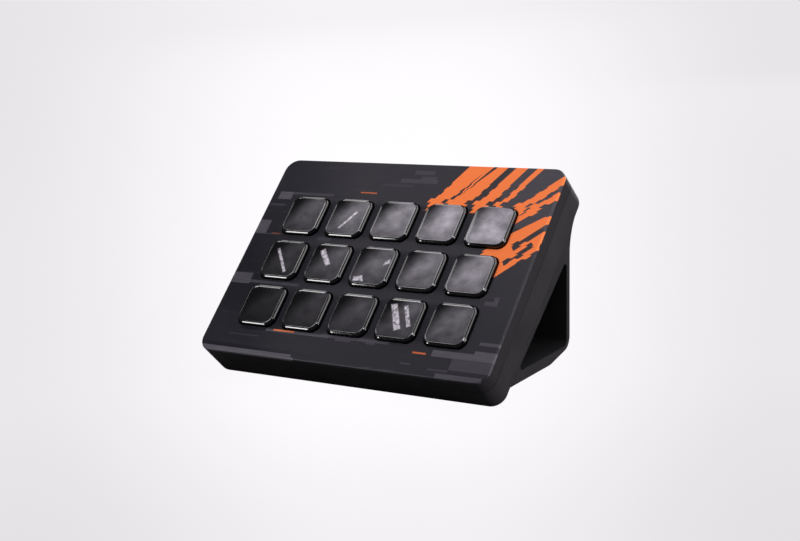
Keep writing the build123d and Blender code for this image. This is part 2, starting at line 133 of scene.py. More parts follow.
class NodeTree:
    """A node tree, with short calls for what its patterns need."""

    def __init__(self, tree: bpy.types.NodeTree) -> None:
        """Empties the tree of a material or of a world."""
        self.tree = tree
        tree.nodes.clear()

    def node(self, kind: str, inputs: Inputs | None = None, **settings: object) -> bpy.types.Node:
        """Adds a node.

        Args:
            kind: The node's type, without the ShaderNode before it.
            inputs: A socket or a plain value for each input, by its name or number.
            settings: Properties of the node.

        Returns:
            The node.
        """
        made = self.tree.nodes.new("ShaderNode" + kind)
        for key, value in settings.items():
            setattr(made, key, value)
        for key, value in (inputs or {}).items():
            self.feed(made.inputs[key], value)
        return made

    def feed(self, socket: Socket, value: object) -> None:
        """Links a socket or writes a plain value into an input.

        Args:
            socket: The input.
            value: An output socket, a number, a vector or a colour without its alpha.
        """
        if isinstance(value, bpy.types.NodeSocket):
            self.tree.links.new(value, socket)
        else:
            socket.default_value = (*value, 1.0) if socket.type == "RGBA" else value

    def math(self, operation: str, first: object, second: object = 0.0, third: object = 0.0) -> Socket:
        """One Math node of sockets or numbers."""
        return self.node("Math", {0: first, 1: second, 2: third}, operation=operation).outputs[0]

    def vector_math(self, operation: str, first: object, second: object) -> bpy.types.Node:
        """One Vector Math node, returned whole because its outputs differ by operation."""
        return self.node("VectorMath", {0: first, 1: second}, operation=operation)

    def mix(self, share: object, first: object, second: object) -> Socket:
        """Mixes two colours or colour sockets, where the share is how much of the second one shows."""
        return self.node("Mix", {0: share, 6: first, 7: second}, data_type="RGBA").outputs[2]

    def spread(self, value: Socket, span: Pair, to: Pair = (0.0, 1.0), smooth: bool = False) -> Socket:
        """Maps a value from one range to another, held within it, and eased if smooth."""
        return self.node("MapRange", {0: value, 1: span[0], 2: span[1], 3: to[0], 4: to[1]},
                         interpolation_type="SMOOTHSTEP" if smooth else "LINEAR").outputs[0]

    def position(self) -> Socket:
        """The place on the piece in the model's frame, in metres."""
        return self.node("TexCoord").outputs["Object"]

    def noise(self, place: Socket, scale: float, detail: float, rough: float) -> Socket:
        """A noise value about 0.5, where scale is how many features lie in one unit of the place."""
        inputs = {"Vector": place, "Scale": scale, "Detail": detail, "Roughness": rough}
        return self.node("TexNoise", inputs).outputs["Fac"]

    def union(self, masks: Iterable[Socket]) -> Socket:
        """The greatest of several masks."""
        joined = None
        for mask in masks:
            joined = mask if joined is None else self.math("MAXIMUM", joined, mask)
        return joined


class SurfaceNodes(NodeTree):
    """The nodes of one material, round its surface shader."""

    def __init__(self, name: str) -> None:
        """Starts a material.

        Args:
            name: The material's name.
        """
        self.material = bpy.data.materials.new(name)
        self.material.use_nodes = True
        super().__init__(self.material.node_tree)
        self.surface = self.node("BsdfPrincipled")
        self.node("OutputMaterial", {"Surface": self.surface.outputs["BSDF"]})

    def set(self, **inputs: object) -> None:
        """Feeds inputs of the surface shader, with underscores for the spaces in their names."""
        for name, value in inputs.items():
            self.feed(self.surface.inputs[name.replace("_", " ")], value)

    def bump(self, height: Socket, strength: float, distance: float) -> None:
        """Raises the surface by a height from 0 to 1, where 1 is the distance in metres."""
        raised = self.node("Bump", {"Height": height, "Strength": strength, "Distance": distance})
        self.set(Normal=raised.outputs[0])


class FaceNodes(SurfaceNodes):
    """The nodes of a material with a pattern on the deck's face, whose places are u, v and n, in mm."""

    def __init__(self, name: str) -> None:
        """Starts a material and finds places on the face.

        Args:
            name: The material's name.
        """
        super().__init__(name)
        matrix = FACE.matrix()
        mapping = self.node("Mapping", {"Vector": self.position(), "Location": matrix.to_translation(),
                                        "Rotation": matrix.to_euler()}, vector_type="TEXTURE")
        self.face = self.vector_math("MULTIPLY", mapping.outputs[0], (1 / MM, 1 / MM, 1 / MM)).outputs[0]
        self.u, self.v, self.n = self.node("SeparateXYZ", {0: self.face}).outputs

    def flat(self, u: Socket) -> Socket:
        """The socket (u, v, 1) that outlines are measured on."""
        return self.node("CombineXYZ", {0: u, 1: self.v, 2: 1.0}).outputs[0]

    def outline_mask(self, flat: Socket, corners: Outline, edge: float) -> Socket:
        """1 inside a convex outline and 0 outside it, with a soft edge.

        Args:
            flat: The socket (u, v, 1).
            corners: The outline's corners in mm, anticlockwise.
            edge: Width of the soft edge, in mm.

        Returns:
            The mask.
        """
        inside = None
        for (u0, v0), (u1, v1) in zip(corners, corners[1:] + corners[:1]):
            across = Vector((v0 - v1, u1 - u0)).normalized()
            plane = (across.x, across.y, -(across.x * u0 + across.y * v0))
            distance = self.vector_math("DOT_PRODUCT", flat, plane).outputs["Value"]
            inside = distance if inside is None else self.math("MINIMUM", inside, distance)
        return self.spread(inside, (0.0, edge))

    def outlines_mask(self, flat: Socket, outlines: tuple[Outline, ...], edge: float) -> Socket:
        """The union of the masks of several outlines."""
        return self.union(self.outline_mask(flat, corners, edge) for corners in outlines)


class Grain(Enum):
    """How coarse a surface is: grains in a metre and their height in metres."""

    FINE = (9000.0, 0.000010)
    SATIN = (5200.0, 0.000018)
    COARSE = (3200.0, 0.000035)
    PRINT = (6500.0, 0.000008)


@dataclass(frozen=True)
class MouldedPlastic:
    """Moulded plastic or rubber with a spark-eroded grain and slightly uneven gloss."""

    name: str
    colour: Colour
    roughness: float
    shine: float
    grain: Grain
    uneven: float = 0.05

    def build(self) -> bpy.types.Material:
        """Makes the material.

        Returns:
            The finished material.
        """
        nodes = SurfaceNodes(self.name)
        place = nodes.position()
        count, height = self.grain.value
        grain = nodes.noise(place, count, detail=2.0, rough=0.6)
        cloud = nodes.noise(place, scale=60.0, detail=3.0, rough=0.55)
        nodes.set(
            Base_Color=nodes.mix(nodes.spread(cloud, NOISE_SPAN), shaded(self.colour, 0.82),
                                 shaded(self.colour, 1.25, lift=0.0008)),
            Roughness=nodes.spread(grain, NOISE_SPAN,
                                   (self.roughness - self.uneven, self.roughness + self.uneven)),
            Specular_IOR_Level=self.shine,
        )
        nodes.bump(grain, strength=0.6, distance=height)
        return nodes.material


@dataclass(frozen=True)
class Metal:
    """Plated or brushed metal with fine rubbed marks."""

    name: str
    colour: Colour
    roughness: float
    smoother: float = 0.06
    rougher: float = 0.08

    def build(self) -> bpy.types.Material:
        """Makes the material.

        Returns:
            The finished material.
        """
        nodes = SurfaceNodes(self.name)
        stretched = nodes.vector_math("MULTIPLY", nodes.position(), (1.0, 9.0, 9.0)).outputs[0]
        marks = nodes.noise(stretched, scale=900.0, detail=4.0, rough=0.6)
        nodes.set(
            Metallic=1.0,
            Base_Color=nodes.mix(nodes.spread(marks, NOISE_CORE), shaded(self.colour, 0.8), self.colour),
            Roughness=nodes.spread(marks, NOISE_SPAN,
                                   (self.roughness - self.smoother, self.roughness + self.rougher)),
        )
        nodes.bump(marks, strength=0.25, distance=0.000004)
        return nodes.material


@dataclass(frozen=True)
class PolishedPlastic:
    """Polished plastic with faint wipe marks in its gloss."""

    name: str
    colour: Colour
    roughness: float
    shine: float
    rougher: float = 0.04

    def build(self) -> bpy.types.Material:
        """Makes the material.

        Returns:
            The finished material.
        """
        nodes = SurfaceNodes(self.name)
        marks = nodes.noise(nodes.position(), scale=400.0, detail=3.0, rough=0.6)
        paler = shaded(self.colour, 1.4, lift=0.001)
        nodes.set(
            Base_Color=nodes.mix(nodes.spread(marks, (0.4, 0.7)), self.colour, paler),
            Roughness=nodes.spread(marks, NOISE_CORE, (self.roughness, self.roughness + self.rougher)),
            Specular_IOR_Level=self.shine,
        )
        return nodes.material


@dataclass(frozen=True)
class PrintedBar:
    """One rectangle of the cover's print, on the face in mm, with how strongly it shows."""

    left: float
    right: float
    low: float
    high: float
    strength: float = 1.0

    def mask(self, nodes: FaceNodes) -> Socket:
        """The strength inside the bar and 0 outside it.

        Args:
            nodes: The material's nodes.

        Returns:
            The mask.
        """
        across = nodes.math("COMPARE", nodes.u, (self.left + self.right) / 2, (self.right - self.left) / 2)
        along = nodes.math("COMPARE", nodes.v, (self.low + self.high) / 2, (self.high - self.low) / 2)
        return nodes.math("MULTIPLY", nodes.math("MULTIPLY", across, along), self.strength)


@dataclass(frozen=True)
class CoverPrint:
    """The cover's satin print: grey bars, two hatched patches, orange dashes and slanting orange shards, on a
    ground with painted shade at its left and painted light upwards, and painted shade between the keys.
    """

    ground: Colour = linear(57, 55, 61)
    # The colour of the painted shade: at the ground's left and on the bars between the keys.
    painted_shade_ground: Colour = linear(12, 12, 24)
    skirt: Colour = linear(44, 41, 45)
    pale: Colour = linear(92, 88, 97)
    orange: Colour = linear(255, 130, 70)
    bars: tuple[PrintedBar, ...] = (
        PrintedBar(-55.6, -49.5, 23.6, 27.0, 0.84),
        PrintedBar(-55.6, -31.0, 25.9, 27.0, 0.46),
        PrintedBar(-57.2, -51.0, 20.6, 21.5, 0.35),
        PrintedBar(-60.0, -53.4, 8.1, 14.0, 0.75),
        PrintedBar(-60.0, -47.0, 7.8, 8.2, 0.45),
        PrintedBar(-60.0, -50.0, -13.8, -9.3, 0.68),
        PrintedBar(-51.5, -28.0, -13.2, -12.0, 0.5),
        PrintedBar(-60.0, -17.8, -42.5, -39.9, 1.0),
        PrintedBar(-60.0, -16.4, -42.5, -41.0, 1.0),
        PrintedBar(-33.0, -6.0, -32.0, -31.0, 0.8),
        PrintedBar(-9.0, 18.5, -31.8, -30.6, 0.65),
        PrintedBar(-3.0, 3.5, -32.6, -31.0, 0.5),
        PrintedBar(9.5, 13.0, -32.5, -31.0, 0.5),
        PrintedBar(-48.0, -35.0, -34.6, -34.2, 0.3),
        PrintedBar(35.8, 60.0, -34.0, -31.6, 0.95),
        PrintedBar(51.0, 60.0, -32.0, -30.4, 0.95),
        PrintedBar(44.0, 60.0, -38.2, -33.6, 0.47),
        PrintedBar(51.6, 60.0, -28.2, -27.0, 0.7),
        PrintedBar(40.0, 57.0, -41.4, -39.8, 0.68),
        PrintedBar(36.5, 44.0, -39.2, -38.4, 0.35),
        PrintedBar(25.5, 29.5, -38.1, -37.5, 0.4),
        PrintedBar(12.0, 16.0, -41.2, -40.8, 0.3),
        PrintedBar(18.0, 24.5, -41.3, -40.9, 0.3),
        PrintedBar(47.6, 52.4, -13.6, -12.0, 0.55),
        PrintedBar(50.6, 52.4, -12.6, -10.2, 0.55),
        PrintedBar(-0.5, 7.8, 37.2, 38.9, 0.42),
        PrintedBar(-5.0, 10.5, 33.4, 35.1, 0.45),
        PrintedBar(-12.0, 1.0, 31.6, 32.6, 0.2),
        PrintedBar(3.0, 9.5, 34.8, 36.4, 0.4),
        PrintedBar(-29.5, -23.5, 6.6, 8.0, 0.3),
        PrintedBar(38.0, 60.0, 17.0, 44.0, 0.42),
    )
    dashes: tuple[PrintedBar, ...] = (
        PrintedBar(-29.8, -20.8, -31.5, -30.9, 0.75),
        PrintedBar(28.6, 33.8, -33.8, -33.1, 0.5),
        PrintedBar(-19.8, -12.8, 28.0, 28.5, 0.5),
        PrintedBar(-50.6, -46.6, 8.2, 8.6, 0.17),
    )
    shards: tuple[Outline, ...] = (
        ((9.0, 22.0), (24.0, 22.0), (37.0, 43.0), (21.5, 43.0)),
        ((27.0, 22.0), (32.5, 22.0), (44.6, 43.0), (40.0, 43.0)),
        ((36.5, 24.0), (38.2, 22.5), (50.8, 43.0), (48.2, 43.0)),
        ((43.6, 24.0), (46.4, 22.0), (60.0, 36.4), (60.0, 40.6)),
        ((46.0, 17.5), (60.0, 30.0), (60.0, 33.6), (44.0, 19.6)),
        ((27.0, 0.0), (47.0, -3.0), (60.0, 10.0), (60.0, 28.0), (46.0, 14.0)),
    )
    slits: tuple[Outline, ...] = (
        ((14.6, 23.0), (17.0, 23.0), (28.0, 40.0)),
        ((31.4, 43.0), (19.8, 27.0), (33.2, 43.0)),
        ((49.0, 9.6), (50.4, 7.8), (60.0, 17.6), (60.0, 20.6)),
        ((48.0, 3.4), (49.0, 1.8), (58.0, 10.8), (56.6, 11.9)),
    )
    streaks: Colour = (0.09, 0.9, 0.0)  # Features in a mm of u, v and n.
    streak_span: Pair = (0.56, 0.72)
    streak_share: float = 0.12
    ink_least: float = 0.72
    shard_edge: float = 0.12
    row_height: float = 1.7
    slip: float = 2.2
    still_rows: float = 0.72
    side_hatch: PrintedBar = PrintedBar(-58.5, -44.0, -38.5, -22.0)
    side_fade: Pair = (-22.0, -27.0)
    foot_hatch: PrintedBar = PrintedBar(-44.0, -6.0, -38.6, -32.2)
    foot_fade: Pair = (-6.0, -20.0)
    hatch_lean: float = 1.6
    hatch_spacing: float = 0.95
    hatch_edge: Pair = (-0.2, 0.6)
    hatch_strength: float = 0.14
    # Where the painted shade between neighbouring keys lies, how wide it is, how it fades and how strong it
    # is.
    key_field: PrintedBar = PrintedBar(-44.0, 44.0, -31.0, 25.0)
    gap_half: float = 2.0
    gap_fade: Pair = (6.0, 8.5)
    gap_strength: float = 0.45
    # Painted light and shade on the ground: darker at the left, lighter to the right and upwards.
    painted_light_across: Pair = (-62.0, -5.0)
    painted_light_share: float = 0.9
    painted_light_rise: float = 0.0085
    edge_depth: float = 0.75
    edge_blur: float = 0.1
    gloss: Pair = (0.3, 0.38)
    shine: float = 0.16

    def slipped(self, nodes: FaceNodes) -> Socket:
        """Shifts a few rows of the print sideways, as in a torn picture.

        Args:
            nodes: The material's nodes.

        Returns:
            The shifted socket (u, v, 1).
        """
        row = nodes.math("FLOOR", nodes.math("DIVIDE", nodes.v, self.row_height))
        chance = nodes.node("TexWhiteNoise", {"W": row}, noise_dimensions="1D").outputs["Value"]
        moving = nodes.math("GREATER_THAN", chance, self.still_rows)
        lean = nodes.math("SUBTRACT", chance, (1 + self.still_rows) / 2)
        reach = self.slip / ((1 - self.still_rows) / 2)
        shift = nodes.math("MULTIPLY", nodes.math("MULTIPLY", lean, moving), reach)
        return nodes.flat(nodes.math("ADD", nodes.u, shift))

    def grey_shade(self, nodes: FaceNodes) -> Socket:
        """How strongly the pale grey shows: bars, their uneven ink and faint streaks.

        Args:
            nodes: The material's nodes.

        Returns:
            The share of pale grey.
        """
        shade = nodes.union(bar.mask(nodes) for bar in self.bars)
        place = nodes.vector_math("MULTIPLY", nodes.face, self.streaks).outputs[0]
        ink = nodes.noise(place, scale=1.0, detail=4.0, rough=0.6)
        ink = nodes.spread(ink, NOISE_CORE, (self.ink_least, 1.0))
        faint = nodes.noise(place, scale=0.7, detail=5.0, rough=0.6)
        faint = nodes.spread(faint, self.streak_span, (0.0, self.streak_share))
        return nodes.math("MAXIMUM", nodes.math("MULTIPLY", shade, ink), faint)

    def hatch(self, nodes: FaceNodes) -> Socket:
        """Fine diagonal lines in two patches at the lower left.

        Args:
            nodes: The material's nodes.

        Returns:
            How strongly the lines show.
        """
        along = nodes.math("ADD", nodes.u, nodes.math("MULTIPLY", nodes.v, self.hatch_lean))
        wave = nodes.math("SINE", nodes.math("MULTIPLY", along, 2 * math.pi / self.hatch_spacing))
        side = nodes.math("MULTIPLY", self.side_hatch.mask(nodes), nodes.spread(nodes.v, self.side_fade))
        foot = nodes.math("MULTIPLY", self.foot_hatch.mask(nodes), nodes.spread(nodes.u, self.foot_fade))
        lines = nodes.math("MULTIPLY", nodes.spread(wave, self.hatch_edge), nodes.math("MAXIMUM", side, foot))
        return nodes.math("MULTIPLY", lines, self.hatch_strength)

    def painted_gap_shade(self, nodes: FaceNodes) -> Socket:
        """Painted shade on the narrow bars of the cover between neighbouring keys.

        Args:
            nodes: The material's nodes.

        Returns:
            How strongly the painted shade shows.
        """
        half = KEYS.pitch / 2
        aside = nodes.math("WRAP", nodes.u, KEYS.pitch, 0.0)
        bar = nodes.math("COMPARE", aside, half, self.gap_half)
        row = nodes.math("WRAP", nodes.math("ADD", nodes.v, KEYS.drop), half, -half)
        beside = nodes.spread(nodes.math("ABSOLUTE", row), self.gap_fade, (self.gap_strength, 0.0),
                              smooth=True)
        return nodes.math("MULTIPLY", nodes.math("MULTIPLY", bar, beside), self.key_field.mask(nodes))

    def build(self) -> bpy.types.Material:
        """Makes the material.

        Returns:
            The finished material.
        """
        nodes = FaceNodes("cover_print")
        # Painted light and shade: the ground darkens to the left and lightens upwards.
        across = nodes.spread(nodes.u, self.painted_light_across, (0.0, self.painted_light_share), smooth=True)
        lit = nodes.math("MULTIPLY_ADD", nodes.v, self.painted_light_rise, across)
        colour = nodes.mix(nodes.spread(lit, (0.0, 1.0)), self.painted_shade_ground, self.ground)
        colour = nodes.mix(self.grey_shade(nodes), colour, self.pale)
        colour = nodes.mix(self.hatch(nodes), colour, self.pale)
        # Painted shade on the bars between neighbouring keys.
        colour = nodes.mix(self.painted_gap_shade(nodes), colour, self.painted_shade_ground)
        flat = self.slipped(nodes)
        art = nodes.math("MULTIPLY", nodes.outlines_mask(flat, self.shards, self.shard_edge),
                         nodes.math("SUBTRACT", 1.0, nodes.outlines_mask(flat, self.slits, self.shard_edge)))
        dashes = nodes.union(dash.mask(nodes) for dash in self.dashes)
        colour = nodes.mix(nodes.math("MAXIMUM", art, dashes), colour, self.orange)
        printed = nodes.spread(nodes.n, (-self.edge_depth, self.edge_blur - self.edge_depth))
        count, height = Grain.PRINT.value
        grain = nodes.noise(nodes.position(), count, detail=2.0, rough=0.6)
        nodes.set(
            Base_Color=nodes.mix(printed, self.skirt, colour),
            Roughness=nodes.spread(grain, NOISE_SPAN, self.gloss),
            Specular_IOR_Level=self.shine,
        )
        nodes.bump(grain, strength=0.4, distance=height)
        return nodes.material


@dataclass(frozen=True)
class DisplayPicture:
    """The lit picture: soft grey clouds, paler to the upper right, with a few pale slivers."""

    tint: Colour = (1.0, 0.925, 1.05)
    # The brightness is e to the power of a level, which rises to the right and upwards, per mm.
    middle_level: float = -2.25
    rise_across: float = 0.0195
    rise_up: float = 0.041
    # It falls faster at the left, and is held at the top.
    left_level: float = 0.32
    left_across: float = 0.02
    left_up: float = 0.004
    top_level: float = -1.0
    top_blend: float = 0.3
    # Each key's picture has a painted shade in its upper left corner and along its edges.
    corner_across: float = 0.62
    corner_up: float = 0.5
    corner_fade: Pair = (-6.8, -0.4)
    corner_left: float = 0.02
    corner_power: float = 1.25
    corner_ease: float = 0.012
    edge_fade: Pair = (2.5, 7.5)
    edge_left: float = 0.6
    clouds: Pair = (0.6, 1.35)
    torn_span: Pair = (0.35, 0.6)
    torn_light: Pair = (0.1, 0.55)
    glass_dark: Colour = (0.004, 0.004, 0.005)
    glass_lit: Colour = (0.03, 0.03, 0.032)
    gloss: Pair = (0.1, 0.14)
    shine: float = 0.8
    sliver_edge: float = 0.45
    slivers: tuple[Outline, ...] = (
        ((-22.0, 11.6), (-20.8, 11.2), (-15.8, 18.8), (-17.0, 19.4)),
        ((-24.6, 1.2), (-19.4, -4.8), (-17.6, -3.6), (-22.6, 2.8)),
        ((-5.6, -9.8), (-0.8, -9.6), (-2.4, -6.8), (-6.0, -7.8)),
        ((3.8, -2.8), (6.8, -1.4), (6.2, 0.4), (4.2, -0.6)),
        ((13.8, -17.2), (19.0, -27.2), (21.6, -26.2), (16.4, -16.6)),
        ((19.0, -17.4), (23.4, -25.6), (25.0, -24.8), (20.8, -16.8)),
        ((-43.6, 0.8), (-36.2, -9.0), (-35.0, -8.2), (-42.4, 1.6)),
    )

    def glow(self, nodes: FaceNodes) -> Socket:
        """How bright the picture is.

        Args:
            nodes: The material's nodes.

        Returns:
            The brightness.
        """
        up = nodes.math("ADD", nodes.v, KEYS.drop)
        rise = nodes.math("MULTIPLY_ADD", nodes.u, self.rise_across, self.middle_level)
        rise = nodes.math("MULTIPLY_ADD", up, self.rise_up, rise)
        left = nodes.math("MULTIPLY_ADD", nodes.u, self.left_across, self.left_level)
        left = nodes.math("MULTIPLY_ADD", up, self.left_up, left)
        rise = nodes.math("ADD", rise, nodes.math("MINIMUM", left, 0.0))
        rise = nodes.math("SMOOTH_MIN", rise, self.top_level, self.top_blend)
        stretched = nodes.vector_math("MULTIPLY", nodes.face, (0.8, 1.0, 0.0)).outputs[0]
        cloud = nodes.noise(stretched, scale=0.2, detail=4.0, rough=0.55)
        cloud = nodes.spread(cloud, NOISE_SPAN, self.clouds)
        level = nodes.math("MULTIPLY", nodes.math("EXPONENT", rise), cloud)
        return nodes.math("MULTIPLY", level, self.shade(nodes))

    def shade(self, nodes: FaceNodes) -> Socket:
        """The painted shade in the upper left corner and along the edges of each key's picture.

        Args:
            nodes: The material's nodes.

        Returns:
            The share of light that is left.
        """
        half = KEYS.pitch / 2
        across = nodes.math("WRAP", nodes.u, half, -half)
        along = nodes.math("WRAP", nodes.math("ADD", nodes.v, KEYS.drop), half, -half)
        slant = nodes.math("SUBTRACT", nodes.math("MULTIPLY", across, self.corner_across),
                           nodes.math("MULTIPLY", along, self.corner_up))
        ease = nodes.math("ADD", nodes.math("MULTIPLY", nodes.u, self.corner_ease),
                          nodes.math("MULTIPLY", nodes.v, self.corner_ease))
        lit = nodes.spread(slant, self.corner_fade, (self.corner_left, 1.0), smooth=True)
        corner = nodes.math("POWER", lit, nodes.math("SUBTRACT", self.corner_power, ease))
        edge = nodes.math("MAXIMUM", nodes.math("ABSOLUTE", across), nodes.math("ABSOLUTE", along))
        return nodes.math("MULTIPLY", corner, nodes.spread(edge, self.edge_fade, (1.0, self.edge_left)))

    def build(self) -> bpy.types.Material:
        """Makes the material.

        Returns:
            The finished material.
        """
        nodes = FaceNodes("display_picture")
        torn = nodes.noise(nodes.face, scale=0.8, detail=3.0, rough=0.6)
        torn = nodes.spread(torn, self.torn_span, self.torn_light)
        slivers = nodes.outlines_mask(nodes.flat(nodes.u), self.slivers, self.sliver_edge)
        slivers = nodes.math("MULTIPLY", slivers, torn)
        level = nodes.math("ADD", self.glow(nodes), slivers)
        wiped = nodes.noise(nodes.face, scale=1.2, detail=3.0, rough=0.6)
        nodes.set(
            Base_Color=nodes.mix(level, self.glass_dark, self.glass_lit),
            Roughness=nodes.spread(wiped, NOISE_CORE, self.gloss),
            Specular_IOR_Level=self.shine,
            Emission_Color=nodes.mix(level, (0.0, 0.0, 0.0), self.tint),
            Emission_Strength=1.0,
        )
        return nodes.material


@dataclass(frozen=True)
class PrintedBoard:
    """Solder mask over copper tracks, with a little weave."""

    name: str
    mask: Colour
    copper: Colour
    copper_share: float = 0.55

    def build(self) -> bpy.types.Material:
        """Makes the material.

        Returns:
            The finished material.
        """
        nodes = FaceNodes(self.name)
        tracks = nodes.node("TexBrick", {"Vector": nodes.face, "Scale": 0.6, "Mortar Size": 0.09},
                            offset=0.35, squash=1.6).outputs["Fac"]
        weave = nodes.noise(nodes.face, scale=5.0, detail=2.0, rough=0.5)
        nodes.set(
            Base_Color=nodes.mix(nodes.math("MULTIPLY", tracks, self.copper_share), self.mask, self.copper),
            Roughness=nodes.spread(weave, NOISE_SPAN, (0.3, 0.42)),
        )
        nodes.bump(tracks, strength=0.4, distance=0.00003)
        return nodes.material


def only(piece: bpy.types.Object) -> None:
    """Makes one object the active and only selected one."""
    bpy.ops.object.select_all(action="DESELECT")
    bpy.context.view_layer.objects.active = piece
    piece.select_set(True)


def edit(piece: bpy.types.Object) -> None:
    """Opens one object in edit mode, with all of it selected."""
    only(piece)
    bpy.ops.object.mode_set(mode="EDIT")
    bpy.ops.mesh.select_all(action="SELECT")


def face_outwards() -> None:
    """Selects all of the piece in edit mode and turns its faces outwards."""
    bpy.ops.mesh.select_all(action="SELECT")
    bpy.ops.mesh.normals_make_consistent(inside=False)


def settle(piece: bpy.types.Object, place: Matrix) -> bpy.types.Object:
    """Puts a piece made at the origin in its place and keeps that place in its mesh.

    Args:
        piece: The piece.
        place: The matrix from where it was made to where it goes.

    Returns:
        The same piece.
    """
    only(piece)
    piece.matrix_world = place
    bpy.ops.object.transform_apply(location=True, rotation=True, scale=True)
    return piece


def pick(piece: bpy.types.Object, kind: str, test: Callable[[object], bool]) -> None:
    """Selects the edges or faces that pass a test.

    Args:
        piece: The piece, in edit mode.
        kind: EDGE or FACE.
        test: Says whether an edge or a face is wanted.
    """
    bpy.ops.mesh.select_mode(type=kind)
    bpy.ops.mesh.select_all(action="DESELECT")
    bpy.ops.object.mode_set(mode="OBJECT")
    for part in piece.data.edges if kind == "EDGE" else piece.data.polygons:
        part.select = test(part)
    bpy.ops.object.mode_set(mode="EDIT")


def pick_edges(piece: bpy.types.Object, test: Callable[[Vector], bool]) -> None:
    """Selects the edges whose two ends, as points in mm, pass a test."""
    pick(piece, "EDGE", lambda edge: all(test(piece.data.vertices[i].co / MM) for i in edge.vertices))


def pick_face(piece: bpy.types.Object, height: float, side: int) -> None:
    """Selects the flat face at a height in mm that looks up, at side 1, or down, at side -1."""
    pick(piece, "FACE", lambda face: (abs(face.center.z / MM - height) < SAME_PLACE
                                      and face.normal.z * side > LEVEL_FACE))


def extrude(height: float = 0.0, scale: float = 1.0) -> None:
    """Extrudes what is selected along Z by a height in mm, and scales the new ring about the Z axis."""
    bpy.ops.mesh.extrude_region_move(TRANSFORM_OT_translate={"value": (0.0, 0.0, height * MM)})
    if scale != 1.0:
        bpy.ops.transform.resize(value=(scale, scale, 1.0), center_override=(0.0, 0.0, 0.0))


def inset(width: float, rise: float = 0.0) -> None:
    """Insets the selected face by a width and raises its middle, both in mm."""
    bpy.ops.mesh.inset(thickness=width * MM, depth=rise * MM)


def rounded_plate(name: str, size: float, radius: float, height: float, steps: int) -> bpy.types.Object:
    """A flat square with rounded corners and points along its sides, with its face selected.

    Args:
        name: The piece's name.
        size: Its side in mm.
        radius: Its corner radius in mm.
        height: Its height in mm.
        steps: Segments in each corner, and in each straight side.

    Returns:
        The piece, in edit mode.
    """
    bpy.ops.object.select_all(action="DESELECT")
    bpy.ops.mesh.primitive_circle_add(vertices=8 * steps, radius=size / 2 * MM, fill_type="NGON")
    piece = bpy.context.active_object
    piece.name = name
    straight = size / 2 - radius
    for number, vertex in enumerate(sorted(piece.data.vertices, key=lambda v: math.atan2(v.co.y, v.co.x))):
        side, step = divmod(number, 2 * steps)
        if step < steps:
            angle = math.pi / 2 * step / steps
            point = Vector((straight + radius * math.sin(angle), radius * -math.cos(angle) - straight))
        else:
            point = Vector((size / 2, straight * (2 * (step - steps) / steps - 1)))
        point.rotate(Matrix.Rotation(math.pi / 2 * (side - 1), 2))
        vertex.co = (point.x * MM, point.y * MM, height * MM)
    edit(piece)
    return piece


